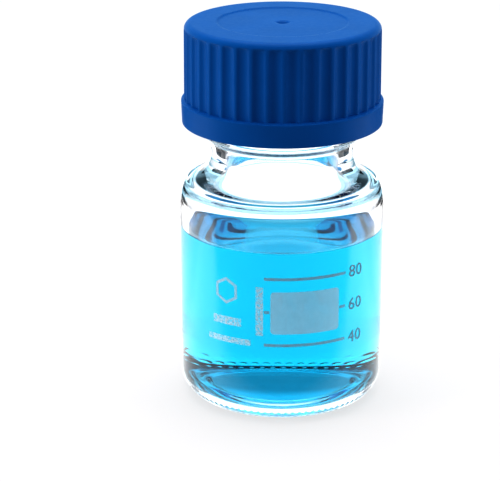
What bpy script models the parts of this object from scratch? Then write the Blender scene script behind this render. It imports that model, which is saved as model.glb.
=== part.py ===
"""A 100 ml laboratory reagent bottle with a GL45 screw cap, in metres, +Z up.

The origin is on the bottle's axis, at the surface it stands on, and the printed front faces -Y.
The nodes are the glass bottle, the pouring ring on its lip, the screw cap, the liquid inside,
and each enamel mark printed on the front of the glass.
"""

import math

import bmesh
import bpy

MM = 0.001

# Outside of the glass
BODY_RADIUS = 28.0 * MM
OUTER_BEND_START = 55.0 * MM
OUTER_BEND = 12.5 * MM
OUTER_BEND_ANGLE = 25.0
OUTER_CREASE = 1.8 * MM
OUTER_SLOPE = 16.0
OUTER_FLARE = 7.5 * MM
NECK_RADIUS = 19.6 * MM
COLLAR_RADIUS = 22.0 * MM
COLLAR_HALF_HEIGHT = 1.6 * MM
COLLAR_HEIGHT = 75.3 * MM
THREAD_ROOT_RADIUS = 20.5 * MM
HEEL_RADIUS = 5.5 * MM
HEEL_HEIGHT = 7.0 * MM
FOOT_WIDTH = 1.2 * MM
PUSH_UP_STEP = 0.7 * MM
PUSH_UP_RISE = 1.4 * MM

# Lip of the glass
LIP_HEIGHT = 100.0 * MM
LIP_RADIUS = 19.3 * MM
LIP_ROUNDING = 1.2 * MM
LIP_GROOVE_RADIUS = 18.5 * MM
LIP_GROOVE_TOP = 97.5 * MM
LIP_GROOVE_BOTTOM = 96.2 * MM
THREAD_ROOT_TOP = 95.2 * MM

# Inside of the glass
WALL = 2.0 * MM
FLOOR_EDGE_HEIGHT = 2.1 * MM
FLOOR_RISE = 2.2 * MM
INNER_HEEL = 7.2 * MM
INNER_BEND_START = 55.6 * MM
INNER_BEND = 4.0 * MM
INNER_BEND_ANGLE = 45.0
INNER_CREASE = 4.0 * MM
INNER_SLOPE = 11.0
INNER_FLARE = 7.0 * MM
NECK_BORE_RADIUS = 15.6 * MM
NECK_BORE_TOP = 88.0 * MM
MOUTH_RADIUS = 15.5 * MM
MOUTH_BOTTOM = 94.0 * MM

# Right-hand round thread, on the neck and inside the cap
THREAD_PITCH = 6.0 * MM
NECK_RIDGE_PATH_RADIUS = 20.9 * MM
NECK_RIDGE_THICKNESS = 1.6 * MM
NECK_RIDGE_START = 81.5 * MM
NECK_RIDGE_TURNS = 2.0
CAP_RIDGE_PATH_RADIUS = 23.1 * MM
CAP_RIDGE_THICKNESS = 1.4 * MM
CAP_RIDGE_TURNS = 1.6
RIDGE_FADE = 0.1
RIDGE_END_SINK = 1.7 * MM
RIDGE_END_SCALE = 0.6
RIDGE_POINTS_PER_TURN = 26

# Liquid inside
LIQUID_HEIGHT = 47.6 * MM
LIQUID_GAP = 0.3 * MM

# Pouring ring, clipped over the lip
RING_GAP = 0.3 * MM
RING_THICKNESS = 1.0 * MM
RING_CLIP_RADIUS = 18.8 * MM
RING_CLIP_BOTTOM = 96.7 * MM
RING_CLIP_TOP = 97.3 * MM
RING_COLLAR_BOTTOM = 97.8 * MM

# Screw cap
CAP_BOTTOM = 77.5 * MM
CAP_TOP = 105.0 * MM
CAP_FILLET = 2.0 * MM
BARREL_TOP_RADIUS = 26.5 * MM
BARREL_BOTTOM_RADIUS = 26.6 * MM
BARREL_BOTTOM = 84.3 * MM
SKIRT_TOP = 83.9 * MM
SKIRT_TOP_RADIUS = 27.4 * MM
SKIRT_BOTTOM_RADIUS = 27.2 * MM
SKIRT_CHAMFER = 0.4 * MM
CAP_INNER_RADIUS = 23.0 * MM
CAP_UNDERSIDE = 103.0 * MM
CAP_INNER_CHAMFER = 0.8 * MM
SEAL_LIP_RADIUS = 17.6 * MM
SEAL_LIP_HALF_WIDTH = 0.5 * MM
SEAL_LIP_BOTTOM = 101.6 * MM
TOP_DISC_RADIUS = 17.4 * MM
TOP_DISC_DEPTH = 0.25 * MM
GATE_RADIUS = 1.9 * MM
GATE_DEPTH = 1.2 * MM
FLUTE_COUNT = 38
FLUTE_CUTTER_RADIUS = 2.6 * MM
FLUTE_DEPTH = 0.8 * MM
FLUTE_TOP = 103.4 * MM
FLUTE_SIDES = 12

# Enamel print: angles in degrees from the front, towards +X
PRINT_GAP = 0.08 * MM
PRINT_THICKNESS = 0.08 * MM
SCALE_HEIGHTS = {80: 41.8 * MM, 60: 32.4 * MM, 40: 23.0 * MM}
SCALE_LINE_THICKNESS = 0.8 * MM
SCALE_LEFT = -10.4
SCALE_RIGHT = 36.5
PANEL_LEFT = -6.8
PANEL_RIGHT = 32.2
PANEL_TOP = 38.2 * MM
PANEL_BOTTOM = 26.2 * MM
PANEL_CORNER = 1.0 * MM
DIGIT_HEIGHT = 3.4 * MM
DIGIT_WIDTH = 2.25 * MM
DIGIT_ANGLES = (41.4, 46.7)
EMBLEM_ANGLE = -32.5
EMBLEM_HEIGHT = 37.2 * MM
EMBLEM_RADIUS = 3.8 * MM
EMBLEM_STROKE = 0.9 * MM
# Plain bars where a maker prints its lines of text: left and right angle, bottom and top height
TEXT_BARS = {
    "text_bar_upper": (-41.2, -23.3, 27.5 * MM, 29.8 * MM),
    "text_bar_lower": (-44.9, -17.9, 22.4 * MM, 24.1 * MM),
    "text_bar_vertical": (-15.0, -10.8, 25.6 * MM, 39.4 * MM),
}
PRINT_STEP = 3.0

# Facets round the turned pieces
GLASS_STEPS = 48
RING_STEPS = 48
CAP_STEPS = 2 * FLUTE_COUNT
ARC_STEPS = 4


def clear_scene():
    for leftover in list(bpy.data.objects):
        bpy.data.objects.remove(leftover)


def make_collection(name):
    collection = bpy.data.collections.new(name)
    bpy.context.scene.collection.children.link(collection)
    return collection


def make_material(name, color, roughness, transmission=0.0, ior=1.5):
    material = bpy.data.materials.new(name)
    material.use_nodes = True
    shader = material.node_tree.nodes["Principled BSDF"]
    shader.inputs["Base Color"].default_value = (*color, 1.0)
    shader.inputs["Roughness"].default_value = roughness
    shader.inputs["Metallic"].default_value = 0.0
    shader.inputs["Transmission Weight"].default_value = transmission
    shader.inputs["IOR"].default_value = ior
    return material


def finish_object(piece, material):
    """Gives the piece its material and smooth shading, with sharp edges kept at corners."""
    piece.data.materials.clear()
    piece.data.materials.append(material)
    piece.data.shade_smooth()
    piece.data.set_sharp_from_angle(angle=math.radians(35))


def arc(center_radius, center_height, radius, start, end, steps=ARC_STEPS, tall=1.0):
    """Points of an arc in the (radius, height) half-plane, between two angles in degrees.

    With tall over 1 it is part of an ellipse, that many times higher than it is wide.
    """
    points = []
    for index in range(steps + 1):
        angle = math.radians(start + (end - start) * index / steps)
        across = radius * math.cos(angle)
        up = radius * tall * math.sin(angle)
        points.append((center_radius + across, center_height + up))
    return points


def dome(outer_radius, edge_height, rise, steps=3):
    """Points of a shallow dome, from its middle on the axis out to its edge."""
    points = []
    for index in range(steps + 1):
        part = index / steps
        points.append((outer_radius * part, edge_height + rise * (1 - part**2)))
    return points


def turned(name, profile, steps, collection, closed=False):
    """A solid turned about Z. The profile runs down its outer side, from top to bottom."""
    mesh = bpy.data.meshes.new(name)
    edges = [(index, index + 1) for index in range(len(profile) - 1)]
    if closed:
        edges.append((len(profile) - 1, 0))
    mesh.from_pydata([(radius, 0, height) for radius, height in profile], edges, [])
    piece = bpy.data.objects.new(name, mesh)
    collection.objects.link(piece)
    screw = piece.modifiers.new("Turn", "SCREW")
    screw.axis = "Z"
    screw.steps = steps
    screw.render_steps = steps
    screw.use_merge_vertices = True
    screw.merge_threshold = 0.01 * MM
    bake_modifiers(piece)
    return piece


def bake_modifiers(piece):
    """Replaces the piece's mesh with its evaluated one, so that shading can be set on it."""
    graph = bpy.context.evaluated_depsgraph_get()
    mesh = bpy.data.meshes.new_from_object(piece.evaluated_get(graph))
    piece.modifiers.clear()
    piece.data = mesh


def boolean(piece, tool, operation):
    """Joins or cuts the piece with a tool, which stays in the scene as a hidden wireframe."""
    modifier = piece.modifiers.new(tool.name, "BOOLEAN")
    modifier.operation = operation
    modifier.solver = "EXACT"
    modifier.object = tool
    tool.hide_render = True
    tool.display_type = "WIRE"


def mesh_from_curve(curve_object, collection):
    """A closed mesh object in place of a curve, with the curve's loose caps welded on."""
    graph = bpy.context.evaluated_depsgraph_get()
    mesh = bpy.data.meshes.new_from_object(curve_object.evaluated_get(graph))
    welded = bmesh.new()
    welded.from_mesh(mesh)
    bmesh.ops.remove_doubles(welded, verts=welded.verts, dist=0.001 * MM)
    bmesh.ops.recalc_face_normals(welded, faces=welded.faces)
    welded.to_mesh(mesh)
    welded.free()
    name = curve_object.name
    place = curve_object.matrix_world.copy()
    bpy.data.objects.remove(curve_object)
    piece = bpy.data.objects.new(name, mesh)
    piece.matrix_world = place
    collection.objects.link(piece)
    return piece


def thread_ridge(name, path_radius, thickness, start_height, turns, sink, collection):
    """A right-hand helical ridge that fades into its wall at both ends, by sink along the radius."""
    count = round(turns * RIDGE_POINTS_PER_TURN) + 1
    curve = bpy.data.curves.new(name, "CURVE")
    curve.dimensions = "3D"
    curve.bevel_depth = thickness
    curve.bevel_resolution = 2
    curve.use_fill_caps = True
    spline = curve.splines.new("POLY")
    spline.points.add(count - 1)
    for index, point in enumerate(spline.points):
        part = index / (count - 1)
        angle = math.tau * turns * part
        height = start_height + THREAD_PITCH * turns * part
        shown = min(1.0, part / RIDGE_FADE, (1 - part) / RIDGE_FADE)
        radius = path_radius + sink * (1 - shown)
        point.co = (radius * math.cos(angle), radius * math.sin(angle), height, 1)
        point.radius = RIDGE_END_SCALE + (1 - RIDGE_END_SCALE) * shown
    guide = bpy.data.objects.new(name, curve)
    collection.objects.link(guide)
    bpy.context.view_layer.update()
    return mesh_from_curve(guide, collection)


def cavity_profile(gap):
    """The lower inside of the glass, moved inwards by gap, from the axis to the top of the wall."""
    inner_radius = BODY_RADIUS - WALL
    heel_center_radius = inner_radius - INNER_HEEL
    floor_height = FLOOR_EDGE_HEIGHT + gap
    profile = dome(heel_center_radius, floor_height, FLOOR_RISE)[:-1]
    profile += arc(
        heel_center_radius, FLOOR_EDGE_HEIGHT + INNER_HEEL, INNER_HEEL - gap, -90, 0
    )
    return profile


def shoulder(wall_radius, start, bend, bend_angle, crease, slope, flare, neck_radius):
    """The shoulder from the top of the wall in to the neck: a bend, a crease, a slope and a flare."""
    bend_center = wall_radius - bend
    crease_reach = bend - crease
    crease_radius = bend_center + crease_reach * math.cos(math.radians(bend_angle))
    crease_height = start + crease_reach * math.sin(math.radians(bend_angle))
    profile = arc(bend_center, start, bend, 0, bend_angle)[:-1]
    profile += arc(crease_radius, crease_height, crease, bend_angle, 90 - slope)
    top_radius, top_height = profile[-1]
    flare_radius = neck_radius + flare
    foot_radius = flare_radius - flare * math.sin(math.radians(slope))
    foot_height = top_height + (top_radius - foot_radius) * math.tan(math.radians(slope))
    flare_height = foot_height + flare * math.cos(math.radians(slope))
    profile += arc(flare_radius, flare_height, flare, 270 - slope, 180)
    return profile


def glass_profile():
    """The whole section of the glass: up its inside from the floor, over the lip and down."""
    inner_radius = BODY_RADIUS - WALL
    collar_center = COLLAR_RADIUS - COLLAR_HALF_HEIGHT
    foot_inner = BODY_RADIUS - HEEL_RADIUS - FOOT_WIDTH
    push_up = dome(foot_inner - PUSH_UP_STEP, PUSH_UP_STEP, PUSH_UP_RISE)

    profile = cavity_profile(0)
    profile += shoulder(
        inner_radius,
        INNER_BEND_START,
        INNER_BEND,
        INNER_BEND_ANGLE,
        INNER_CREASE,
        INNER_SLOPE,
        INNER_FLARE,
        NECK_BORE_RADIUS,
    )
    profile += [(NECK_BORE_RADIUS, NECK_BORE_TOP), (MOUTH_RADIUS, MOUTH_BOTTOM)]
    lip_center = LIP_HEIGHT - LIP_ROUNDING
    profile += arc(MOUTH_RADIUS + LIP_ROUNDING, lip_center, LIP_ROUNDING, 180, 90, 3)
    profile += arc(LIP_RADIUS - LIP_ROUNDING, lip_center, LIP_ROUNDING, 90, -45)
    profile += [
        (LIP_GROOVE_RADIUS, LIP_GROOVE_TOP),
        (LIP_GROOVE_RADIUS, LIP_GROOVE_BOTTOM),
        (THREAD_ROOT_RADIUS, THREAD_ROOT_TOP),
    ]
    profile += arc(collar_center, COLLAR_HEIGHT, COLLAR_HALF_HEIGHT, 80, -80, 6)
    profile += reversed(
        shoulder(
            BODY_RADIUS,
            OUTER_BEND_START,
            OUTER_BEND,
            OUTER_BEND_ANGLE,
            OUTER_CREASE,
            OUTER_SLOPE,
            OUTER_FLARE,
            NECK_RADIUS,
        )
    )
    heel_shape = HEEL_HEIGHT / HEEL_RADIUS
    profile += arc(
        BODY_RADIUS - HEEL_RADIUS, HEEL_HEIGHT, HEEL_RADIUS, 0, -90, tall=heel_shape
    )
    profile += [(foot_inner, 0)]
    profile += reversed(push_up)
    return profile


def make_glass_bottle(parts, cutters, material):
    bottle = turned("glass_bottle", glass_profile(), GLASS_STEPS, parts)
    ridge = thread_ridge(
        "neck_thread",
        NECK_RIDGE_PATH_RADIUS,
        NECK_RIDGE_THICKNESS,
        NECK_RIDGE_START,
        NECK_RIDGE_TURNS,
        -RIDGE_END_SINK,
        cutters,
    )
    boolean(bottle, ridge, "UNION")
    finish_object(bottle, material)
    return bottle


def make_liquid(parts, material):
    profile = cavity_profile(LIQUID_GAP)
    wall_radius = BODY_RADIUS - WALL - LIQUID_GAP
    profile += [(wall_radius, LIQUID_HEIGHT), (0, LIQUID_HEIGHT)]
    profile.reverse()
    liquid = turned("liquid", profile, GLASS_STEPS, parts)
    finish_object(liquid, material)
    return liquid


def ring_profile():
    """The pouring ring's closed section, in heights above the lip, from its inner top edge."""
    inner_radius = MOUTH_RADIUS - RING_GAP - RING_THICKNESS
    skirt_inner = LIP_RADIUS + RING_GAP
    skirt_outer = skirt_inner + RING_THICKNESS
    top = RING_GAP + RING_THICKNESS
    clip_top = RING_CLIP_TOP - LIP_HEIGHT
    clip_bottom = RING_CLIP_BOTTOM - LIP_HEIGHT
    collar_bottom = RING_COLLAR_BOTTOM - LIP_HEIGHT
    return [
        (inner_radius, top),
        (skirt_outer - RING_THICKNESS, top),
        (skirt_outer, RING_GAP),
        (skirt_outer, clip_bottom),
        (RING_CLIP_RADIUS, clip_bottom),
        (RING_CLIP_RADIUS, clip_top),
        (skirt_inner, clip_top + RING_THICKNESS),
        (skirt_inner, RING_GAP),
        (inner_radius + RING_THICKNESS, RING_GAP),
        (inner_radius + RING_THICKNESS, collar_bottom),
        (inner_radius, collar_bottom),
    ]


def make_pouring_ring(parts, material):
    ring = turned("pouring_ring", ring_profile(), RING_STEPS, parts, closed=True)
    ring.location = (0, 0, LIP_HEIGHT)
    finish_object(ring, material)
    return ring


def cap_profile():
    """The cap's section in heights above its bottom edge: top, outside, then up the inside."""
    top = CAP_TOP - CAP_BOTTOM
    disc = top - TOP_DISC_DEPTH
    underside = CAP_UNDERSIDE - CAP_BOTTOM
    seal_bottom = SEAL_LIP_BOTTOM - CAP_BOTTOM
    gate_bottom = disc - GATE_DEPTH
    profile = [
        (0, gate_bottom),
        (GATE_RADIUS / 2, gate_bottom),
        (GATE_RADIUS, disc),
        (TOP_DISC_RADIUS, disc),
        (TOP_DISC_RADIUS + TOP_DISC_DEPTH, top),
    ]
    profile += arc(BARREL_TOP_RADIUS - CAP_FILLET, top - CAP_FILLET, CAP_FILLET, 90, 0)
    profile += [
        (BARREL_BOTTOM_RADIUS, BARREL_BOTTOM - CAP_BOTTOM),
        (SKIRT_TOP_RADIUS, SKIRT_TOP - CAP_BOTTOM),
        (SKIRT_BOTTOM_RADIUS, SKIRT_CHAMFER),
        (SKIRT_BOTTOM_RADIUS - SKIRT_CHAMFER, 0),
        (CAP_INNER_RADIUS + CAP_INNER_CHAMFER, 0),
        (CAP_INNER_RADIUS, CAP_INNER_CHAMFER),
        (CAP_INNER_RADIUS, underside - CAP_INNER_CHAMFER),
        (CAP_INNER_RADIUS - CAP_INNER_CHAMFER, underside),
        (SEAL_LIP_RADIUS + SEAL_LIP_HALF_WIDTH, underside),
        (SEAL_LIP_RADIUS + SEAL_LIP_HALF_WIDTH, seal_bottom),
        (SEAL_LIP_RADIUS - SEAL_LIP_HALF_WIDTH, seal_bottom),
        (SEAL_LIP_RADIUS - SEAL_LIP_HALF_WIDTH, underside),
        (0, underside),
    ]
    return profile


def make_flute_cutters(cutters):
    """One mesh of upright rods, which cut the finger flutes round the barrel of the cap."""
    rods = bmesh.new()
    bottom = (BARREL_BOTTOM + SKIRT_TOP) / 2 - CAP_BOTTOM
    top = FLUTE_TOP - CAP_BOTTOM
    orbit = BARREL_BOTTOM_RADIUS + FLUTE_CUTTER_RADIUS - FLUTE_DEPTH
    for index in range(FLUTE_COUNT):
        angle = math.tau * index / FLUTE_COUNT
        rod = bmesh.ops.create_cone(
            rods,
            cap_ends=True,
            segments=FLUTE_SIDES,
            radius1=FLUTE_CUTTER_RADIUS,
            radius2=FLUTE_CUTTER_RADIUS,
            depth=top - bottom,
        )
        offset = (orbit * math.cos(angle), orbit * math.sin(angle), (top + bottom) / 2)
        bmesh.ops.translate(rods, verts=rod["verts"], vec=offset)
    mesh = bpy.data.meshes.new("flute_cutters")
    rods.to_mesh(mesh)
    rods.free()
    cutter = bpy.data.objects.new("flute_cutters", mesh)
    cutters.objects.link(cutter)
    return cutter


def make_screw_cap(parts, cutters, material):
    cap = turned("screw_cap", cap_profile(), CAP_STEPS, parts)
    ridge = thread_ridge(
        "cap_thread",
        CAP_RIDGE_PATH_RADIUS,
        CAP_RIDGE_THICKNESS,
        NECK_RIDGE_START + THREAD_PITCH / 2 - CAP_BOTTOM,
        CAP_RIDGE_TURNS,
        RIDGE_END_SINK,
        cutters,
    )
    flutes = make_flute_cutters(cutters)
    for piece in (cap, ridge, flutes):
        piece.location.z = CAP_BOTTOM
    boolean(cap, ridge, "UNION")
    boolean(cap, flutes, "DIFFERENCE")
    finish_object(cap, material)
    return cap


def wrap_on_glass(mesh, angle, height, radius):
    """Bends a flat mesh in XY onto the glass: X runs round from angle, Y up from height."""
    for vertex in mesh.vertices:
        turn = math.radians(angle) + vertex.co.x / BODY_RADIUS
        reach = radius + vertex.co.z
        up = height + vertex.co.y
        vertex.co = (reach * math.sin(turn), -reach * math.cos(turn), up)
    mesh.update()


def print_object(name, sheet, parts, material, angle, height):
    """A thin enamel mark: a flat sheet wrapped on the glass and thickened outwards."""
    mesh = bpy.data.meshes.new(name)
    sheet.to_mesh(mesh)
    sheet.free()
    wrap_on_glass(mesh, angle, height, BODY_RADIUS + PRINT_GAP)
    mark = bpy.data.objects.new(name, mesh)
    parts.objects.link(mark)
    solidify = mark.modifiers.new("Thickness", "SOLIDIFY")
    solidify.thickness = PRINT_THICKNESS
    solidify.offset = 1
    finish_object(mark, material)
    return mark


def make_bar(name, left, right, bottom, top, parts, material, corner=0.0):
    """A printed rectangle between two angles and two heights, with corners rounded if asked."""
    width = math.radians(right - left) * BODY_RADIUS
    columns = max(2, math.ceil((right - left) / PRINT_STEP))
    sheet = bmesh.new()
    bmesh.ops.create_grid(sheet, x_segments=columns, y_segments=1, size=0.5)
    bmesh.ops.scale(sheet, vec=(width, top - bottom, 1), verts=sheet.verts)
    if corner:
        corners = [vertex for vertex in sheet.verts if len(vertex.link_faces) == 1]
        bmesh.ops.bevel(
            sheet, geom=corners, offset=corner, segments=3, profile=0.5, affect="VERTICES"
        )
    middle = (left + right) / 2
    return print_object(name, sheet, parts, material, middle, (top + bottom) / 2)


def make_scale_lines(parts, material):
    """Full lines at 80 and 40 ml. At 60 ml the panel leaves only a stub of line on each side."""
    spans = [
        ("scale_line_80", 80, SCALE_LEFT, SCALE_RIGHT),
        ("scale_line_60_left", 60, SCALE_LEFT, PANEL_LEFT - 0.5),
        ("scale_line_60_right", 60, PANEL_RIGHT + 0.5, SCALE_RIGHT),
        ("scale_line_40", 40, SCALE_LEFT, SCALE_RIGHT),
    ]
    half = SCALE_LINE_THICKNESS / 2
    marks = []
    for name, volume, left, right in spans:
        height = SCALE_HEIGHTS[volume]
        marks.append(make_bar(name, left, right, height - half, height + half, parts, material))
    return marks


def fit_to_size(mesh, axis, size):
    """Centres the mesh on zero along one axis and scales it to size along it."""
    places = [vertex.co[axis] for vertex in mesh.vertices]
    low = min(places)
    high = max(places)
    for vertex in mesh.vertices:
        vertex.co[axis] = (vertex.co[axis] - (high + low) / 2) * size / (high - low)


def make_digit(name, character, angle, height, parts, material):
    """One printed figure of the scale, bent onto the glass."""
    text = bpy.data.curves.new(name, "FONT")
    text.body = character
    text.resolution_u = 2
    text.size = DIGIT_HEIGHT
    text.extrude = PRINT_THICKNESS / 2
    guide = bpy.data.objects.new(name, text)
    parts.objects.link(guide)
    bpy.context.view_layer.update()
    digit = mesh_from_curve(guide, parts)
    fit_to_size(digit.data, 0, DIGIT_WIDTH)
    fit_to_size(digit.data, 1, DIGIT_HEIGHT)
    for vertex in digit.data.vertices:
        vertex.co.z += PRINT_GAP + PRINT_THICKNESS / 2
    wrap_on_glass(digit.data, angle, height, BODY_RADIUS)
    finish_object(digit, material)
    return digit


def make_numerals(parts, material):
    marks = []
    for volume, height in SCALE_HEIGHTS.items():
        for character, angle in zip(str(volume), DIGIT_ANGLES):
            name = f"numeral_{volume}_digit_{character}"
            marks.append(make_digit(name, character, angle, height, parts, material))
    return marks


def make_emblem(parts, material):
    """A plain hexagonal ring, in the place where a maker prints its mark."""
    sheet = bmesh.new()
    bmesh.ops.create_circle(sheet, cap_ends=True, segments=6, radius=EMBLEM_RADIUS)
    bmesh.ops.inset_individual(sheet, faces=sheet.faces, thickness=EMBLEM_STROKE)
    middle = [face for face in sheet.faces if len(face.verts) == 6]
    bmesh.ops.delete(sheet, geom=middle, context="FACES_ONLY")
    bmesh.ops.subdivide_edges(sheet, edges=sheet.edges, cuts=1, use_grid_fill=True)
    return print_object("emblem_hexagon", sheet, parts, material, EMBLEM_ANGLE, EMBLEM_HEIGHT)


def make_print(parts, material):
    marks = make_scale_lines(parts, material)
    marks += make_numerals(parts, material)
    marks.append(make_emblem(parts, material))
    for name, (left, right, bottom, top) in TEXT_BARS.items():
        marks.append(make_bar(name, left, right, bottom, top, parts, material))
    return marks


def make_panel(parts, material):
    return make_bar(
        "writing_panel",
        PANEL_LEFT,
        PANEL_RIGHT,
        PANEL_BOTTOM,
        PANEL_TOP,
        parts,
        material,
        corner=PANEL_CORNER,
    )


def parent_to_empty(name, pieces, parts):
    """Groups the pieces that move together under an empty on the bottle's axis."""
    empty = bpy.data.objects.new(name, None)
    parts.objects.link(empty)
    for piece in pieces:
        piece.parent = empty
    return empty


def main():
    clear_scene()
    parts = make_collection("reagent_bottle")
    cutters = make_collection("cutters")

    glass = make_material("clear_glass", (0.93, 0.97, 0.98), 0.02, transmission=1.0, ior=1.47)
    solution = make_material("blue_solution", (0.02, 0.55, 0.85), 0.02, transmission=0.9, ior=1.33)
    cap_plastic = make_material("blue_cap_plastic", (0.01, 0.09, 0.40), 0.38)
    ring_plastic = make_material("blue_ring_plastic", (0.02, 0.14, 0.50), 0.35)
    enamel = make_material("white_enamel", (0.82, 0.88, 0.90), 0.55)
    panel_enamel = make_material("matt_panel_enamel", (0.62, 0.76, 0.84), 0.7)

    bottle = make_glass_bottle(parts, cutters, glass)
    liquid = make_liquid(parts, solution)
    ring = make_pouring_ring(parts, ring_plastic)
    cap = make_screw_cap(parts, cutters, cap_plastic)
    panel = make_panel(parts, panel_enamel)
    marks = make_print(parts, enamel)

    parent_to_empty("bottle_axis", [bottle, liquid, panel, *marks], parts)
    turning = parent_to_empty("cap_axis", [ring, cap], parts)
    turning.empty_display_type = "SINGLE_ARROW"


main()
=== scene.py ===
"""The looks of the reagent bottle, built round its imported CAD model.

Clear glass with a stippled foot, blue liquid with a meniscus, a fluted screw cap, a pouring ring
and fired enamel print. Everything is in metres, +Z up, and the printed front faces -Y.
"""

import math

import bmesh
import bpy
import numpy as np
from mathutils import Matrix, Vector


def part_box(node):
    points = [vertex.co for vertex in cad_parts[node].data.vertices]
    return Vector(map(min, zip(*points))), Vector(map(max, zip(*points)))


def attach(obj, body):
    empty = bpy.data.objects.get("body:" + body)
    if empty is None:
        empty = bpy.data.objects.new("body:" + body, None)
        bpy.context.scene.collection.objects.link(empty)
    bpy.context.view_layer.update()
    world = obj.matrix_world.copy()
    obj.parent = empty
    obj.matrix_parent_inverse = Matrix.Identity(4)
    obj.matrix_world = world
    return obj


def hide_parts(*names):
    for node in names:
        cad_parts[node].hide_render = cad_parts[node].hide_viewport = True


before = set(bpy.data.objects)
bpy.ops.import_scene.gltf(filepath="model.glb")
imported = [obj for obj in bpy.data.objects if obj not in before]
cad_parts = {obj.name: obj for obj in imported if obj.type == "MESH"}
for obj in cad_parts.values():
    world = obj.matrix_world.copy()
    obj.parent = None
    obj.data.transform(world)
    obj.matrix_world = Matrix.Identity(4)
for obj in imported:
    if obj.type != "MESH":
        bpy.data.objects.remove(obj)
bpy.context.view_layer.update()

MM = 0.001

SAME_POINT = 0.0001 * MM
WELD_DISTANCE = 0.001 * MM

# Highest corners of the CAD boxes, and the lowest ones that sizes come from
glass_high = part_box("glass_bottle")[1]
cap_low, cap_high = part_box("screw_cap")
ring_low, ring_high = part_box("pouring_ring")
liquid_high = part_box("liquid")[1]

# Outside of the glass
BODY_RADIUS = glass_high[0]
LIP_HEIGHT = glass_high[2]
OUTER_BEND_START = 55.0 * MM
OUTER_BEND = 12.5 * MM
OUTER_BEND_ANGLE = 25.0
OUTER_CREASE = 1.8 * MM
OUTER_SLOPE = 16.0
OUTER_FLARE = 7.5 * MM
NECK_RADIUS = 19.6 * MM
COLLAR_RADIUS = 22.0 * MM
COLLAR_HALF_HEIGHT = 1.6 * MM
COLLAR_HEIGHT = 75.3 * MM
COLLAR_FILLET = 1.7 * MM
THREAD_ROOT_RADIUS = 20.5 * MM
HEEL_RADIUS = 5.5 * MM
HEEL_HEIGHT = 7.0 * MM
FOOT_WIDTH = 1.2 * MM
PUSH_UP_STEP = 0.7 * MM
PUSH_UP_RISE = 1.4 * MM
LIP_RADIUS = 19.3 * MM
LIP_ROUNDING = 1.2 * MM
LIP_GROOVE_RADIUS = 18.5 * MM
LIP_GROOVE_TOP = 97.5 * MM
LIP_GROOVE_BOTTOM = 96.2 * MM
THREAD_ROOT_TOP = 95.2 * MM

# Inside of the glass
WALL = 2.0 * MM
FLOOR_EDGE_HEIGHT = 2.1 * MM
FLOOR_RISE = 2.2 * MM
INNER_HEEL = 7.2 * MM
INNER_BEND_START = 55.6 * MM
INNER_BEND = 4.0 * MM
INNER_BEND_ANGLE = 45.0
INNER_CREASE = 4.0 * MM
INNER_SLOPE = 11.0
INNER_FLARE = 7.0 * MM
NECK_BORE_RADIUS = 15.6 * MM
NECK_BORE_TOP = 88.0 * MM
MOUTH_RADIUS = 15.5 * MM
MOUTH_BOTTOM = 94.0 * MM

# Surface of the glass
GLASS_SEGMENTS = 480
GLASS_SPACING = 0.8 * MM
WAVE_COUNT = 10
WAVE_MOST_TURNS = 6
WAVE_SHORTEST = 15.0
WAVE_LONGEST = 60.0
OUTER_WAVE = 0.015 * MM
OUTER_WAVE_SEED = 3
INNER_WAVE = 0.06 * MM
INNER_WAVE_SEED = 8
STIPPLE_COUNT = 90
STIPPLE_ROW_ANGLES = (40.0, 60.0, 80.0)
STIPPLE_HALF_WIDTH = 0.6 * MM
STIPPLE_HALF_HEIGHT = 0.6 * MM
STIPPLE_HEIGHT = 0.32 * MM
BASE_RING_RADII = (19.0 * MM, 15.5 * MM)
BASE_RING_HALF_WIDTH = 1.6 * MM
BASE_RING_DEPTH = 0.45 * MM
UNDERSIDE_NORMAL = -0.1

# Right-hand round thread
THREAD_PITCH = 6.0 * MM
NECK_RIDGE_PATH_RADIUS = 20.9 * MM
NECK_RIDGE_THICKNESS = 1.6 * MM
NECK_RIDGE_START = 81.5 * MM
NECK_RIDGE_TURNS = 2.0
CAP_RIDGE_PATH_RADIUS = 23.1 * MM
CAP_RIDGE_THICKNESS = 1.4 * MM
CAP_RIDGE_TURNS = 1.6
RIDGE_FADE = 0.1

# Liquid
LIQUID_LEVEL = liquid_high[2]
LIQUID_OVERLAP = 0.12 * MM
MENISCUS_RISE = 0.9 * MM
MENISCUS_REACH = 1.1 * MM
CONTACT_HEIGHT = LIQUID_LEVEL + MENISCUS_RISE
GLASS_IOR = 1.47
LIQUID_IOR = 1.33
LIQUID_SEGMENTS = 240
LIQUID_SPACING = 1.5 * MM
MENISCUS_SPAN = 6.0
MENISCUS_STEPS = 28
WET_NORMAL = -0.2
SURFACE_NORMAL = 0.1

# Screw cap
CAP_BOTTOM = cap_low[2]
CAP_TOP = cap_high[2]
CAP_FILLET = 2.0 * MM
BARREL_TOP_RADIUS = 26.5 * MM
BARREL_BOTTOM_RADIUS = 26.6 * MM
FLUTE_BOTTOM = 84.1 * MM
FLUTE_TOP = 103.4 * MM
FLUTE_RUNOUT = 0.8 * MM
SKIRT_TOP = 83.9 * MM
SKIRT_TOP_RADIUS = cap_high[0]
SKIRT_BOTTOM_RADIUS = SKIRT_TOP_RADIUS - 0.2 * MM
SKIRT_ROUNDING = 0.35 * MM
CAP_INNER_RADIUS = 23.0 * MM
CAP_UNDERSIDE = 103.0 * MM
CAP_INNER_CHAMFER = 0.8 * MM
SEAL_LIP_RADIUS = 17.6 * MM
SEAL_LIP_HALF_WIDTH = 0.5 * MM
SEAL_LIP_BOTTOM = 101.6 * MM
TOP_DISC_RADIUS = 17.4 * MM
TOP_DISC_DEPTH = 0.25 * MM
GATE_RADIUS = 1.9 * MM
GATE_BOTTOM_RADIUS = 0.35 * GATE_RADIUS
GATE_DEPTH = 1.2 * MM
FLUTE_COUNT = 38
FLUTE_CUTTER_RADIUS = 2.6 * MM
FLUTE_DEPTH = 0.8 * MM
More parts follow.
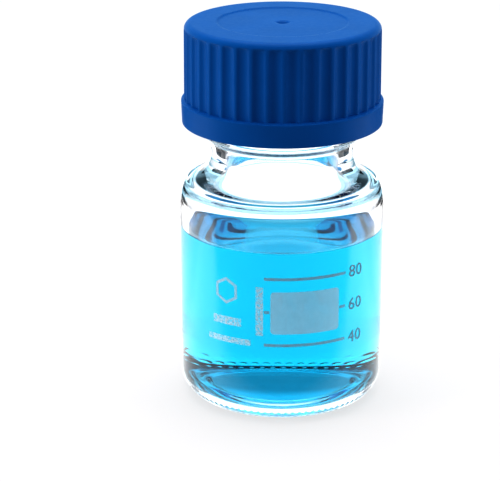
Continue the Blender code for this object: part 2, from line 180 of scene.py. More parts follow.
FLUTE_EDGE_ROUNDING = 0.12 * MM
FLUTE_SEGMENTS = 16
FLUTE_END = 0.05 * MM
CAP_SPACING = 0.6 * MM
TOLERANCE = 0.01 * MM

# Pouring ring
RING_THICKNESS = 1.0 * MM
RING_GAP = 0.3 * MM
RING_CLIP_RADIUS = 18.8 * MM
RING_CLIP_TOP = 97.3 * MM
RING_COLLAR_BOTTOM = 97.8 * MM
RING_ROUNDING = 0.3 * MM
RING_SEGMENTS = 192
RING_SPACING = 1.0 * MM

# Camera, aimed at a point beside the bottle's axis
CAMERA_AIM = (-8.75 * MM, 0.0, 42.98 * MM)
CAMERA_DISTANCE = 544.1 * MM
CAMERA_TILT = 19.25
CAMERA_LENS = 141.2
CAMERA_SENSOR = 36.0
CAMERA_NEAR = 10.0 * MM

# Materials
LIQUID_COLOR = (0.05, 0.855, 0.93)
LIQUID_DENSITY = 100.0
CAP_COLOR = (0.002, 0.096, 0.32)
CAP_ROUGHNESS = 0.42
RING_COLOR = (0.008, 0.10, 0.42)
RING_ROUGHNESS = 0.35
PLASTIC_IOR = 1.49
PLASTIC_GLOSS = 0.1
ENAMEL_GLOSS = 0.2
ENAMEL_SMOOTHEST = 0.5
ENAMEL_ROUGHEST = 0.75
ENAMEL_THIN_END = 0.35
ENAMEL_THICK_START = 0.65
CLOUDY_DETAIL = 3.0
FINE_DETAIL = 4.0
FINE_GRAIN = 900.0
BROKEN_GRAIN = 1500.0
COARSE_GRAIN = 250.0
BLOOM_SCALE = 60.0
BLOOM = 0.02
BLOOM_START = 0.4
BLOOM_FULL = 0.7
CLOUD_SCALE = 80.0
CLOUD_LOW = 0.88
CLOUD_HIGH = 1.12
ROUGH_SPREAD = 0.06
MOULD_TEXTURE = 0.12
MOULD_TEXTURE_DEPTH = 0.05 * MM

# Studio
STUDIO_ROUGHNESS = 0.9
FLOOR_DROP = 0.1 * MM
FLOOR_RADIUS = 3.0
FLOOR_COLOR = (0.3, 0.22, 0.2)
FLOOR_GLOSS = 0.2
# Painted light: the floor emits light and lights the bottle like a lamp. It is brightest in a strip
# under the bottle, where its shadow would fall, and dim in front. The camera sees an even glow
# instead.
FLOOR_GLOW = 0.84
FRONT_GLOW = 0.05
DIRECT_GLOW = 0.5
NEAR_GLOW = 1.25
NEAR_START = -0.03
NEAR_END = 0.02
GLOW_FADE = 0.02
SKY_FRONT_END = -0.6
SKY_BACK_START = 0.2
SKY_FRONT = 0.34
SKY_BACK = 0.52
SKY_HIGH = 1.1
BAND_BELOW = (0.27, 0.2)
BAND_ABOVE = (0.42, 0.55)
SKY_COLOR = (0.5, 0.82, 1.0)
CARD_OFFSET = 0.155
CARD_BEHIND = 0.13
CARD_BOTTOM = 0.0
CARD_WIDTH = 0.16
CARD_HEIGHT = 0.08
CARD_TURN = 0.6
CARD_COLOR = (0.02, 0.025, 0.03)
KEY_POWER = 1.8
FILL_POWER = 0.7
SIDE_LAMP_X = 0.7
SIDE_LAMP_Y = -0.25
SIDE_LAMP_Z = 0.25
SIDE_LAMP_AIM = (0, 0, 0.09)
SIDE_LAMP_SIZE = (0.25, 0.4)
OVERHEAD_POWER = 2.4
OVERHEAD_PLACE = (0.0, 0.15, 0.75)
OVERHEAD_AIM = (0, 0, 0.05)
OVERHEAD_SIZE = (0.7, 0.7)
GLASS_BOUNCES = 24
MIRROR_BOUNCES = 8
ENAMEL_LAYERS = 16


def arc(center_radius, center_height, radius, start, end, step=6.0, tall=1.0):
    """Points of an arc in the (radius, height) half-plane, between two angles in degrees.

    With tall over 1 it is part of an ellipse, that many times higher than it is wide.
    """
    count = max(2, math.ceil(abs(end - start) / step))
    points = []
    for index in range(count + 1):
        angle = math.radians(start + (end - start) * index / count)
        across = radius * math.cos(angle)
        up = radius * tall * math.sin(angle)
        points.append((center_radius + across, center_height + up))
    return points


def dome(outer_radius, edge_height, rise, steps=24):
    """Points of a shallow dome, from its middle on the axis out to its edge."""
    points = []
    for index in range(steps + 1):
        part = index / steps
        points.append((outer_radius * part, edge_height + rise * (1 - part**2)))
    return points


def densify(profile, spacing):
    """The same outline with no two neighbouring points further apart than spacing."""
    dense = [profile[0]]
    for start, end in zip(profile, profile[1:]):
        length = math.dist(start, end)
        if length < SAME_POINT:
            continue
        pieces = max(1, math.ceil(length / spacing))
        for index in range(1, pieces + 1):
            part = index / pieces
            dense.append(tuple(a + (b - a) * part for a, b in zip(start, end)))
    return dense


def profile_normals(radii, heights):
    """Unit normals of an outline, as one column of radius parts and one of height parts."""
    points = np.stack([radii, heights], axis=1)
    ahead = np.roll(points, -1, axis=0)
    behind = np.roll(points, 1, axis=0)
    ahead[-1] = points[-1]
    behind[0] = points[0]
    along = ahead - behind
    along /= np.linalg.norm(along, axis=1, keepdims=True)
    return -along[:, 1:], along[:, :1]


def lathe(name, profile, segments, warp=None, closed=False):
    """A solid turned about Z from its profile, a list of (radius, height) points.

    An open profile starts and ends on the axis. warp(angles, radii, heights) may move the surface:
    it gets arrays of one row per profile point and one column per angle, and returns new radii and
    heights. closed joins the last profile point to the first.
    """
    points = np.array(profile)
    angles = np.arange(segments) * math.tau / segments
    grid_angles, radii = np.meshgrid(angles, points[:, 0])
    heights = np.repeat(points[:, 1:2], segments, axis=1)
    if warp:
        radii, heights = warp(grid_angles, radii, heights)
    vertices = np.stack(
        [radii * np.cos(grid_angles), radii * np.sin(grid_angles), heights], axis=-1
    )
    rows = len(points)
    ring = np.arange(segments)
    after = (ring + 1) % segments
    faces = []
    for row in range(rows if closed else rows - 1):
        here = row * segments
        below = (row + 1) % rows * segments
        faces += np.stack([here + ring, below + ring, below + after, here + after], axis=1).tolist()
    mesh = bpy.data.meshes.new(name)
    mesh.from_pydata(vertices.reshape(-1, 3).tolist(), [], faces)
    weld_axis(mesh)
    piece = bpy.data.objects.new(name, mesh)
    bpy.context.scene.collection.objects.link(piece)
    return piece


def weld_axis(mesh):
    """Welds the points that lie together on the axis, and faces the solid outwards."""
    work = bmesh.new()
    work.from_mesh(mesh)
    on_axis = [v for v in work.verts if math.hypot(v.co.x, v.co.y) < SAME_POINT]
    bmesh.ops.remove_doubles(work, verts=on_axis, dist=WELD_DISTANCE)
    bmesh.ops.recalc_face_normals(work, faces=work.faces)
    work.to_mesh(mesh)
    work.free()


def finish_piece(piece, material, body, slot, *nodes, sharp=40.0):
    """Shades the piece, gives it its material, hangs it on its body and hides the CAD parts that it
    stands for.
    """
    piece.data.materials.clear()
    piece.data.materials.append(material)
    piece.data.shade_smooth()
    piece.data.set_sharp_from_angle(angle=math.radians(sharp))
    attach(piece, body)
    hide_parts(*nodes)


def waves(angles, heights, amplitude, seed):
    """Smooth, shallow ripples of blown glass, the same on every run."""
    chance = np.random.default_rng(seed)
    total = np.zeros_like(angles)
    for _ in range(WAVE_COUNT):
        turns = chance.integers(1, WAVE_MOST_TURNS + 1)
        length = chance.uniform(WAVE_SHORTEST, WAVE_LONGEST) * MM
        phase_round = chance.uniform(0, math.tau)
        phase_up = chance.uniform(0, math.tau)
        round_wave = np.sin(turns * angles + phase_round)
        total += round_wave * np.sin(math.tau * heights / length + phase_up)
    return amplitude * total / math.sqrt(WAVE_COUNT - 1)


def helix_ridge(angles, heights, start, turns, thickness):
    """How far a round helical ridge stands out at each point, from 0 to its thickness."""
    ridge = np.zeros_like(heights)
    for lap in range(math.ceil(turns) + 1):
        turned = angles + lap * math.tau
        part = turned / (turns * math.tau)
        away = heights - (start + THREAD_PITCH * turned / math.tau)
        half = np.sqrt(np.clip(thickness**2 - away**2, 0, None))
        shown = np.clip(np.minimum(part, 1 - part) / RIDGE_FADE, 0, 1)
        ridge = np.maximum(ridge, half * shown**0.5)
    return ridge


def cavity_profile(gap):
    """The lower inside of the glass, moved by gap towards the axis, up to the straight wall."""
    inner_radius = BODY_RADIUS - WALL
    heel_center_radius = inner_radius - INNER_HEEL
    profile = dome(heel_center_radius, FLOOR_EDGE_HEIGHT + gap, FLOOR_RISE)
    profile += arc(
        heel_center_radius, FLOOR_EDGE_HEIGHT + INNER_HEEL, INNER_HEEL - gap, -90, 0
    )
    return profile


def shoulder(wall_radius, start, bend, bend_angle, crease, slope, flare, neck_radius):
    """The shoulder from the top of the wall in to the neck: a bend, a crease, a slope and a flare."""
    bend_center = wall_radius - bend
    crease_reach = bend - crease
    crease_radius = bend_center + crease_reach * math.cos(math.radians(bend_angle))
    crease_height = start + crease_reach * math.sin(math.radians(bend_angle))
    profile = arc(bend_center, start, bend, 0, bend_angle)
    profile += arc(crease_radius, crease_height, crease, bend_angle, 90 - slope)
    top_radius, top_height = profile[-1]
    flare_radius = neck_radius + flare
    foot_radius = flare_radius - flare * math.sin(math.radians(slope))
    foot_height = top_height + (top_radius - foot_radius) * math.tan(math.radians(slope))
    flare_height = foot_height + flare * math.cos(math.radians(slope))
    profile += arc(flare_radius, flare_height, flare, 270 - slope, 180)
    return profile


def glass_profile():
    """The section of the glass: up its inside from the floor, over the lip and down."""
    inner_radius = BODY_RADIUS - WALL
    collar_center = COLLAR_RADIUS - COLLAR_HALF_HEIGHT
    foot_inner = BODY_RADIUS - HEEL_RADIUS - FOOT_WIDTH
    lip_center = LIP_HEIGHT - LIP_ROUNDING
    push_up = dome(foot_inner - PUSH_UP_STEP, PUSH_UP_STEP, PUSH_UP_RISE)

    profile = cavity_profile(0)
    profile.append((inner_radius, CONTACT_HEIGHT))
    profile += shoulder(
        inner_radius,
        INNER_BEND_START,
        INNER_BEND,
        INNER_BEND_ANGLE,
        INNER_CREASE,
        INNER_SLOPE,
        INNER_FLARE,
        NECK_BORE_RADIUS,
    )
    profile += [(NECK_BORE_RADIUS, NECK_BORE_TOP), (MOUTH_RADIUS, MOUTH_BOTTOM)]
    profile += arc(MOUTH_RADIUS + LIP_ROUNDING, lip_center, LIP_ROUNDING, 180, 90)
    profile += arc(LIP_RADIUS - LIP_ROUNDING, lip_center, LIP_ROUNDING, 90, -45)
    profile += [
        (LIP_GROOVE_RADIUS, LIP_GROOVE_TOP),
        (LIP_GROOVE_RADIUS, LIP_GROOVE_BOTTOM),
        (THREAD_ROOT_RADIUS, THREAD_ROOT_TOP),
    ]
    profile += collar_profile(collar_center)
    profile += reversed(
        shoulder(
            BODY_RADIUS,
            OUTER_BEND_START,
            OUTER_BEND,
            OUTER_BEND_ANGLE,
            OUTER_CREASE,
            OUTER_SLOPE,
            OUTER_FLARE,
            NECK_RADIUS,
        )
    )
    profile += arc(
        BODY_RADIUS - HEEL_RADIUS,
        HEEL_HEIGHT,
        HEEL_RADIUS,
        0,
        -90,
        step=2.0,
        tall=HEEL_HEIGHT / HEEL_RADIUS,
    )
    profile += [(foot_inner, 0)]
    profile += reversed(push_up)
    return profile


def collar_profile(center_radius):
    """The round collar below the thread, with a small fillet where it meets the neck."""
    fillet_center = NECK_RADIUS + COLLAR_FILLET
    reach = COLLAR_HALF_HEIGHT + COLLAR_FILLET
    drop = math.sqrt(reach**2 - (fillet_center - center_radius) ** 2)
    tangent = math.degrees(math.atan2(drop, fillet_center - center_radius))
    upper = arc(fillet_center, COLLAR_HEIGHT + drop, COLLAR_FILLET, 180, 180 + tangent)
    middle = arc(center_radius, COLLAR_HEIGHT, COLLAR_HALF_HEIGHT, tangent, -tangent)
    lower = arc(fillet_center, COLLAR_HEIGHT - drop, COLLAR_FILLET, 180 - tangent, 180)
    return upper + middle + lower


def stipples(angles, radii, heights):
    """Height of the small pads moulded in staggered rows round the heel."""
    pitch = math.tau / STIPPLE_COUNT
    down = (HEEL_HEIGHT - heights) / HEEL_HEIGHT
    out = (radii - (BODY_RADIUS - HEEL_RADIUS)) / HEEL_RADIUS
    turned = np.arctan2(down, out)
    total = np.zeros_like(angles)
    for number, row_angle in enumerate(STIPPLE_ROW_ANGLES):
        shifted = angles + pitch / 2 * (number % 2)
        across = (np.mod(shifted + pitch / 2, pitch) - pitch / 2) * radii
        along = (turned - math.radians(row_angle)) * HEEL_RADIUS
        away = np.hypot(across / STIPPLE_HALF_WIDTH, along / STIPPLE_HALF_HEIGHT)
        total += np.clip(1 - away**2, 0, None) ** 1.5
    return STIPPLE_HEIGHT * total * (heights < HEEL_HEIGHT)


def base_rings(radii, heights):
    """Depth of the two ring grooves that the mould leaves in the push-up."""
    total = np.zeros_like(radii)
    for ring_radius in BASE_RING_RADII:
        away = np.clip(np.abs(radii - ring_radius) / BASE_RING_HALF_WIDTH, 0, 1)
        total += 0.5 + 0.5 * np.cos(math.pi * away)
    return BASE_RING_DEPTH * total * (heights < HEEL_HEIGHT)


def warp_glass(angles, radii, heights):
    """Adds the thread, the ripples of the blown wall, the stippled heel and the base rings."""
    normal_radius, normal_height = profile_normals(radii[:, 0], heights[:, 0])
    outside = normal_radius > 0
    inside = ~outside
    in_thread = outside & (heights > COLLAR_HEIGHT + 2 * COLLAR_HALF_HEIGHT)
    in_thread &= heights < THREAD_ROOT_TOP
    ridge = helix_ridge(
        angles, heights, NECK_RIDGE_START, NECK_RIDGE_TURNS, NECK_RIDGE_THICKNESS
    )
    crest = np.where(ridge > 0, NECK_RIDGE_PATH_RADIUS + ridge, 0)
    threaded = np.where(in_thread, np.maximum(radii, crest), radii)

    above_heel = np.clip(heights / INNER_HEEL - 1, 0, 1)
    push = waves(angles, heights, OUTER_WAVE, OUTER_WAVE_SEED) * above_heel * outside
    push += waves(angles, heights, INNER_WAVE, INNER_WAVE_SEED) * above_heel * inside
    new_radii = threaded + push * normal_radius
    new_heights = heights + push * normal_height
    underneath = normal_height < UNDERSIDE_NORMAL
    new_heights += (stipples(angles, radii, heights) + base_rings(radii, heights)) * underneath
    return new_radii, new_heights


def make_glass(material, wet_material):
    """The bottle. Its faces against the liquid get the wet material, where light bends less."""
    profile = densify(glass_profile(), GLASS_SPACING)
    piece = lathe("bottle_glass", profile, GLASS_SEGMENTS, warp_glass)
    finish_piece(piece, material, "bottle", "glass", "glass_bottle", sharp=60)
    piece.data.materials.append(wet_material)
    for face in piece.data.polygons:
        inner = math.hypot(face.center.x, face.center.y) < BODY_RADIUS - WALL / 2
        if inner and face.normal.z > WET_NORMAL and face.center.z < CONTACT_HEIGHT:
            face.material_index = 1
    return piece


def make_liquid(material, side_material):
    """The liquid, which runs a little way into the glass, so that no air gap shows between them.

    Its sides and bottom get the side material, and its surface the other.
    """
    wall_radius = BODY_RADIUS - WALL + LIQUID_OVERLAP
    profile = cavity_profile(-LIQUID_OVERLAP)
    for index in range(MENISCUS_STEPS + 1):
        away = MENISCUS_REACH * MENISCUS_SPAN * (index / MENISCUS_STEPS) ** 2
        rise = MENISCUS_RISE * math.exp(-away / MENISCUS_REACH)
        profile.append((wall_radius - away, LIQUID_LEVEL + rise))
    profile.append((0, LIQUID_LEVEL))
    profile.reverse()
    piece = lathe("liquid_fill", densify(profile, LIQUID_SPACING), LIQUID_SEGMENTS)
    finish_piece(piece, material, "bottle", "liquid", "liquid", sharp=60)
    piece.data.materials.append(side_material)
    for face in piece.data.polygons:
        if face.normal.z < SURFACE_NORMAL:
            face.material_index = 1
    return piece


def cap_profile():
    """The section of the cap: out over its top, down its outside, and up its inside."""
    disc = CAP_TOP - TOP_DISC_DEPTH
    gate_bottom = disc - GATE_DEPTH
    seal_outer = SEAL_LIP_RADIUS + SEAL_LIP_HALF_WIDTH
    seal_inner = SEAL_LIP_RADIUS - SEAL_LIP_HALF_WIDTH
    ledge_center = SKIRT_TOP_RADIUS - SKIRT_ROUNDING
    profile = [
        (0, gate_bottom),
        (GATE_BOTTOM_RADIUS, gate_bottom),
        (GATE_RADIUS, disc),
        (TOP_DISC_RADIUS, disc),
        (TOP_DISC_RADIUS + TOP_DISC_DEPTH, CAP_TOP),
    ]
    profile += arc(
        BARREL_TOP_RADIUS - CAP_FILLET, CAP_TOP - CAP_FILLET, CAP_FILLET, 90, 0, step=5.0
    )
    profile += [
        (BARREL_BOTTOM_RADIUS, FLUTE_BOTTOM + FLUTE_END),
        (BARREL_BOTTOM_RADIUS, FLUTE_BOTTOM),
    ]
    profile += arc(ledge_center, SKIRT_TOP - SKIRT_ROUNDING, SKIRT_ROUNDING, 80, 0, step=15.0)
    profile += arc(
        SKIRT_BOTTOM_RADIUS - SKIRT_ROUNDING,
        CAP_BOTTOM + SKIRT_ROUNDING,
        SKIRT_ROUNDING,
        0,
        -90,
        step=15.0,
    )
    profile += [
        (CAP_INNER_RADIUS + CAP_INNER_CHAMFER, CAP_BOTTOM),
        (CAP_INNER_RADIUS, CAP_BOTTOM + CAP_INNER_CHAMFER),
        (CAP_INNER_RADIUS, CAP_UNDERSIDE - CAP_INNER_CHAMFER),
        (CAP_INNER_RADIUS - CAP_INNER_CHAMFER, CAP_UNDERSIDE),
        (seal_outer, CAP_UNDERSIDE),
        (seal_outer, SEAL_LIP_BOTTOM),
        (seal_inner, SEAL_LIP_BOTTOM),
        (seal_inner, CAP_UNDERSIDE),
        (0, CAP_UNDERSIDE),
    ]
    return profile


def warp_cap(angles, radii, heights):
    """Cuts the finger flutes into the barrel, and raises the thread ridge inside."""
    pitch = math.tau / FLUTE_COUNT
    offset = np.mod(angles + pitch / 2, pitch) - pitch / 2
    orbit = BARREL_BOTTOM_RADIUS + FLUTE_CUTTER_RADIUS - FLUTE_DEPTH
    inside_rod = FLUTE_CUTTER_RADIUS**2 - (orbit * np.sin(offset)) ** 2
    rod = orbit * np.cos(offset) - np.sqrt(np.clip(inside_rod, 0, None))
    soft = FLUTE_EDGE_ROUNDING
    blend = np.clip(0.5 + 0.5 * (rod - radii) / soft, 0, 1)
    fluted = rod * (1 - blend) + radii * blend - soft * blend * (1 - blend)
    runout = np.clip((FLUTE_TOP - heights) / FLUTE_RUNOUT, 0, 1)
    fluted = radii + (fluted - radii) * np.sqrt(runout)
    on_barrel = heights > FLUTE_BOTTOM + TOLERANCE
    on_barrel &= radii > CAP_INNER_RADIUS + CAP_INNER_CHAMFER
    new_radii = np.where(on_barrel, np.minimum(fluted, radii), radii)

    start = NECK_RIDGE_START + THREAD_PITCH / 2
    ridge = helix_ridge(angles, heights, start, CAP_RIDGE_TURNS, CAP_RIDGE_THICKNESS)
    crest = CAP_RIDGE_PATH_RADIUS - ridge
    on_inner_wall = np.abs(radii - CAP_INNER_RADIUS) < TOLERANCE
    new_radii = np.where(on_inner_wall & (ridge > 0), np.minimum(crest, new_radii), new_radii)
    return new_radii, heights


def make_cap(material):
    """The screw cap, with the same number of segments in each flute."""
    profile = densify(cap_profile(), CAP_SPACING)
    piece = lathe("cap_shell", profile, FLUTE_COUNT * FLUTE_SEGMENTS, warp_cap)
    finish_piece(piece, material, "cap", "cap_plastic", "screw_cap", sharp=45)
    return piece


def make_ring(material):
    """The pouring ring: a thin collar in the mouth, a flange and a skirt clipped over the lip."""
    inner = MOUTH_RADIUS - RING_GAP - RING_THICKNESS
    skirt_inner = LIP_RADIUS + RING_GAP
    skirt_outer = skirt_inner + RING_THICKNESS
    flange = LIP_HEIGHT + RING_GAP
    top = ring_high[2]
    bottom = ring_low[2]
    rounding = RING_ROUNDING
    profile = arc(inner + rounding, top - rounding, rounding, 180, 90, step=30.0)
    profile += arc(skirt_outer - RING_THICKNESS, flange, RING_THICKNESS, 90, 0, step=15.0)
    profile += arc(skirt_outer - rounding, bottom + rounding, rounding, 0, -90, step=30.0)
    profile += [
        (RING_CLIP_RADIUS, bottom),
        (RING_CLIP_RADIUS, RING_CLIP_TOP),
        (skirt_inner, RING_CLIP_TOP + RING_THICKNESS),
        (skirt_inner, flange),
        (inner + RING_THICKNESS, flange),
        (inner + RING_THICKNESS, RING_COLLAR_BOTTOM),
        (inner, RING_COLLAR_BOTTOM),
    ]
    piece = lathe("ring_shell", densify(profile, RING_SPACING), RING_SEGMENTS, closed=True)
    finish_piece(piece, material, "pouring_ring", "ring_plastic", "pouring_ring")
    return piece


def new_material(name):
    """A material, its nodes, its links and its shader."""
    material = bpy.data.materials.new(name)
    material.use_nodes = True
    nodes = material.node_tree.nodes
    return material, nodes, material.node_tree.links, nodes["Principled BSDF"]


def plain_material(name, color, roughness):
    """A material of one colour, for what stands in the studio."""
    material, _, _, shader = new_material(name)
    shader.inputs["Base Color"].default_value = (*color, 1)
    shader.inputs["Roughness"].default_value = roughness
    return material


def add_grain(material, scale, detail):
    """A noise texture that keeps its place on the piece."""
    nodes = material.node_tree.nodes
    place = nodes.new("ShaderNodeTexCoord")
    grain = nodes.new("ShaderNodeTexNoise")
    grain.inputs["Scale"].default_value = scale
    grain.inputs["Detail"].default_value = detail
    material.node_tree.links.new(place.outputs["Object"], grain.inputs["Vector"])
    return grain.outputs["Fac"]


def add_range(material, value, out_low, out_high, in_low=0.0, in_high=1.0):
    """The value moved from one range to another."""
    spread = material.node_tree.nodes.new("ShaderNodeMapRange")
    spread.inputs["From Min"].default_value = in_low
    spread.inputs["From Max"].default_value = in_high
    spread.inputs["To Min"].default_value = out_low
    spread.inputs["To Max"].default_value = out_high
    material.node_tree.links.new(value, spread.inputs["Value"])
    return spread.outputs["Result"]


def clear_material(name, ior):
    """Clear and colourless, with a faint bloom that makes its polish vary a little.

    ior is that of its far side against its near side.
    """
    material, _, links, shader = new_material(name)
    shader.inputs["Base Color"].default_value = (1, 1, 1, 1)
    shader.inputs["IOR"].default_value = ior
    shader.inputs["Transmission Weight"].default_value = 1.0
    grain = add_grain(material, BLOOM_SCALE, CLOUDY_DETAIL)
    bloom = add_range(material, grain, 0.0, BLOOM, BLOOM_START, BLOOM_FULL)
    links.new(bloom, shader.inputs["Roughness"])
    return material


def liquid_material(name, ior):
    """Blue solution: the depth of colour comes from the length of its path in the liquid."""
    material = clear_material(name, ior)
    nodes = material.node_tree.nodes
    links = material.node_tree.links
    absorption = nodes.new("ShaderNodeVolumeAbsorption")
    absorption.inputs["Color"].default_value = (*LIQUID_COLOR, 1)
    absorption.inputs["Density"].default_value = LIQUID_DENSITY
    links.new(absorption.outputs["Volume"], nodes["Material Output"].inputs["Volume"])
    return material


def plastic_material(name, color, roughness):
    """Moulded polypropylene: a faint cloudiness in its colour and fine grain in its gloss."""
    material, nodes, links, shader = new_material(name)
    shader.inputs["IOR"].default_value = PLASTIC_IOR
    shader.inputs["Specular IOR Level"].default_value = PLASTIC_GLOSS
    cloud = nodes.new("ShaderNodeMix")
    cloud.data_type = "RGBA"
    cloud.inputs["A"].default_value = (*[CLOUD_LOW * part for part in color], 1)
    cloud.inputs["B"].default_value = (*[CLOUD_HIGH * part for part in color], 1)
    links.new(add_grain(material, CLOUD_SCALE, CLOUDY_DETAIL), cloud.inputs["Factor"])
    links.new(cloud.outputs["Result"], shader.inputs["Base Color"])
    grain = add_grain(material, FINE_GRAIN, FINE_DETAIL)
    rough = add_range(material, grain, roughness - ROUGH_SPREAD, roughness + ROUGH_SPREAD)
    links.new(rough, shader.inputs["Roughness"])
    bump = nodes.new("ShaderNodeBump")
    bump.inputs["Strength"].default_value = MOULD_TEXTURE
    bump.inputs["Distance"].default_value = MOULD_TEXTURE_DEPTH
    links.new(grain, bump.inputs["Height"])
    links.new(bump.outputs["Normal"], shader.inputs["Normal"])
    return material


def enamel_material(name, color, thinnest, thickest, scale):
    """Fired enamel, which lets some light through where its grain is thin or worn."""
    material, _, links, shader = new_material(name)
    shader.inputs["Base Color"].default_value = (*color, 1)
    shader.inputs["Specular IOR Level"].default_value = ENAMEL_GLOSS
    grain = add_grain(material, scale, CLOUDY_DETAIL)
    cover = add_range(material, grain, thinnest, thickest, ENAMEL_THIN_END, ENAMEL_THICK_START)
    links.new(cover, shader.inputs["Alpha"])
    rough = add_range(material, grain, ENAMEL_SMOOTHEST, ENAMEL_ROUGHEST)
    links.new(rough, shader.inputs["Roughness"])
    return material


def make_floor():
    """A pale floor that glows with painted light and lights the bottle, though it is no lamp. It
    glows less in front of the bottle.
    """
    mesh = bpy.data.meshes.new("studio_floor")
    work = bmesh.new()
    bmesh.ops.create_circle(work, cap_ends=True, segments=96, radius=FLOOR_RADIUS)
    work.to_mesh(mesh)
    work.free()
    floor = bpy.data.objects.new("studio_floor", mesh)
    floor.location.z = -FLOOR_DROP
    bpy.context.scene.collection.objects.link(floor)
    mesh.materials.append(floor_material())


def floor_material():
    """A white glow of painted light. It is brightest in a strip under the bottle, where the bottle's
    shadow would fall, and even where the camera sees it.
    """
    material = plain_material("pale_floor", FLOOR_COLOR, STUDIO_ROUGHNESS)
    nodes = material.node_tree.nodes
    links = material.node_tree.links
    shader = nodes["Principled BSDF"]
    shader.inputs["Specular IOR Level"].default_value = FLOOR_GLOSS
    shader.inputs["Emission Color"].default_value = (1, 1, 1, 1)
    place = nodes.new("ShaderNodeTexCoord")
    split = nodes.new("ShaderNodeSeparateXYZ")
    depth = split.outputs["Y"]
    # Painted light: the strip under the bottle glows brightest, filling the bottle's shadow, and the
    # floor in front of it glows least.
    behind = add_range(material, depth, NEAR_GLOW, FLOOR_GLOW, NEAR_END, NEAR_END + GLOW_FADE)
    front = add_range(material, depth, FRONT_GLOW, 1.0, NEAR_START - GLOW_FADE, NEAR_START)
    shared = nodes.new("ShaderNodeMath")
    shared.operation = "MULTIPLY"
    rays = nodes.new("ShaderNodeLightPath")
    glow = nodes.new("ShaderNodeMix")
    glow.inputs["B"].default_value = DIRECT_GLOW
    links.new(place.outputs["Object"], split.inputs["Vector"])
    links.new(behind, shared.inputs[0])
    links.new(front, shared.inputs[1])
    links.new(shared.outputs["Value"], glow.inputs["A"])
    links.new(rays.outputs["Is Camera Ray"], glow.inputs["Factor"])
    links.new(glow.outputs["Result"], shader.inputs["Emission Strength"])
    return material


def make_sky():
    """A pale blue surround, dimmer in front of the bottle and in a band low behind it.

    It isn't dimmed where the camera sees it directly.
    """
    world = bpy.data.worlds.new("studio_sky")
    bpy.context.scene.world = world
    world.use_nodes = True
    nodes = world.node_tree.nodes
    links = world.node_tree.links
    background = nodes["Background"]
    background.inputs["Color"].default_value = (*SKY_COLOR, 1)
    place = nodes.new("ShaderNodeTexCoord")
    split = nodes.new("ShaderNodeSeparateXYZ")
    ramp = nodes.new("ShaderNodeMapRange")
    ramp.interpolation_type = "SMOOTHSTEP"
    ramp.inputs["From Min"].default_value = SKY_FRONT_END
    ramp.inputs["From Max"].default_value = SKY_BACK_START
    ramp.inputs["To Min"].default_value = SKY_FRONT
    band = nodes.new("ShaderNodeMath")
    band.operation = "MAXIMUM"
    for number, (dim_end, bright_end) in enumerate((BAND_BELOW, BAND_ABOVE)):
        edge = nodes.new("ShaderNodeMapRange")
        edge.interpolation_type = "SMOOTHSTEP"
        edge.inputs["From Min"].default_value = dim_end
        edge.inputs["From Max"].default_value = bright_end
        edge.inputs["To Min"].default_value = SKY_BACK
        edge.inputs["To Max"].default_value = SKY_HIGH
        links.new(split.outputs["Z"], edge.inputs["Value"])
        links.new(edge.outputs["Result"], band.inputs[number])
    rays = nodes.new("ShaderNodeLightPath")
    strongest = nodes.new("ShaderNodeMath")
    strongest.operation = "MAXIMUM"
    links.new(place.outputs["Generated"], split.inputs["Vector"])
    links.new(split.outputs["Y"], ramp.inputs["Value"])
    links.new(band.outputs["Value"], ramp.inputs["To Max"])
    links.new(ramp.outputs["Result"], strongest.inputs[0])
    links.new(rays.outputs["Is Camera Ray"], strongest.inputs[1])
    links.new(strongest.outputs["Value"], background.inputs["Strength"])


def make_softbox(name, location, aim, size, power, mirrored=True):
    """A soft rectangular lamp aimed at a point. With mirrored off it doesn't show in the glass."""
    light = bpy.data.lights.new(name, "AREA")
    light.shape = "RECTANGLE"
    light.size = size[0]
    light.size_y = size[1]
    light.energy = power
    lamp = bpy.data.objects.new(name, light)
    lamp.location = location
    direction = [b - a for a, b in zip(location, aim)]
    flat = math.hypot(direction[0], direction[1])
    lamp.rotation_euler = (
        math.atan2(flat, -direction[2]),
        0,
        math.atan2(direction[1], direction[0]) - math.pi / 2,
    )
    lamp.visible_glossy = mirrored
    lamp.visible_transmission = mirrored
    bpy.context.scene.collection.objects.link(lamp)


def make_card(side):
    """A low dark card behind the bottle, which the bent light in the neck's edges falls on."""
    mesh = bpy.data.meshes.new("dark_card")
    work = bmesh.new()
    bmesh.ops.create_grid(work, x_segments=1, y_segments=1, size=0.5)
    bmesh.ops.scale(work, vec=(CARD_WIDTH, CARD_HEIGHT, 1), verts=work.verts)
    work.to_mesh(mesh)
    work.free()
    card = bpy.data.objects.new("dark_card", mesh)
    card.location = (side * CARD_OFFSET, CARD_BEHIND, CARD_BOTTOM + CARD_HEIGHT / 2)
    card.rotation_euler = (math.pi / 2, 0, -side * CARD_TURN)
    card.visible_camera = False
    card.visible_diffuse = False
    card.visible_shadow = False
    bpy.context.scene.collection.objects.link(card)
    mesh.materials.append(plain_material("card_black", CARD_COLOR, STUDIO_ROUGHNESS))


def make_camera():
    """A long lens in front of the bottle that looks down on it a little."""
    tilt = math.radians(CAMERA_TILT)
    camera = bpy.data.cameras.new("camera")
    camera.lens = CAMERA_LENS
    camera.sensor_width = CAMERA_SENSOR
    camera.clip_start = CAMERA_NEAR
    view = bpy.data.objects.new("camera", camera)
    view.location = (
        CAMERA_AIM[0],
        CAMERA_AIM[1] - CAMERA_DISTANCE * math.cos(tilt),
        CAMERA_AIM[2] + CAMERA_DISTANCE * math.sin(tilt),
    )
    view.rotation_euler = (math.pi / 2 - tilt, 0, 0)
    bpy.context.scene.collection.objects.link(view)
    bpy.context.scene.camera = view


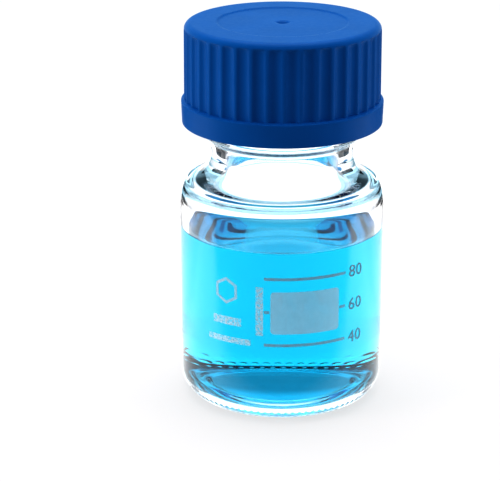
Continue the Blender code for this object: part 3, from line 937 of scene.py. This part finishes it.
def set_look():
    """The view's contrast, and enough light bounces for glass within glass."""
    scene = bpy.context.scene
    scene.view_settings.view_transform = "Standard"
    scene.view_settings.look = "High Contrast"
    scene.cycles.max_bounces = GLASS_BOUNCES
    scene.cycles.transmission_bounces = GLASS_BOUNCES
    scene.cycles.glossy_bounces = MIRROR_BOUNCES
    scene.cycles.transparent_max_bounces = ENAMEL_LAYERS


def dress_print():
    """The printed marks keep their CAD solids, and get an enamel for the start of their name."""
    coats = {
        "scale_": enamel_material("line_enamel", (0.36, 0.46, 0.54), 0.45, 0.7, FINE_GRAIN),
        "numeral_": enamel_material("numeral_enamel", (0.25, 0.33, 0.40), 0.75, 0.95, FINE_GRAIN),
        "text_": enamel_material("text_enamel", (0.70, 0.80, 0.86), 0.1, 0.75, BROKEN_GRAIN),
        "emblem_": enamel_material("emblem_enamel", (0.62, 0.74, 0.82), 0.4, 0.7, FINE_GRAIN),
        "writing_panel": enamel_material(
            "panel_enamel", (0.58, 0.76, 0.86), 0.48, 0.56, COARSE_GRAIN
        ),
    }
    for name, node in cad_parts.items():
        for start, coat in coats.items():
            if name.startswith(start):
                node.data.materials.clear()
                node.data.materials.append(coat)


set_look()
make_camera()
make_floor()
make_sky()
for side in (-1, 1):
    make_card(side)
for name, side, power in (("left_softbox", -1, KEY_POWER), ("right_softbox", 1, FILL_POWER)):
    place = (side * SIDE_LAMP_X, SIDE_LAMP_Y, SIDE_LAMP_Z)
    make_softbox(name, place, SIDE_LAMP_AIM, SIDE_LAMP_SIZE, power, mirrored=False)
make_softbox("overhead_softbox", OVERHEAD_PLACE, OVERHEAD_AIM, OVERHEAD_SIZE, OVERHEAD_POWER)

make_glass(
    clear_material("clear_borosilicate", GLASS_IOR),
    clear_material("wet_borosilicate", GLASS_IOR / LIQUID_IOR),
)
make_liquid(
    liquid_material("blue_solution", LIQUID_IOR),
    liquid_material("blue_solution_side", 1.0),
)
make_cap(plastic_material("cap_polypropylene", CAP_COLOR, CAP_ROUGHNESS))
make_ring(plastic_material("ring_polypropylene", RING_COLOR, RING_ROUGHNESS))
dress_print()
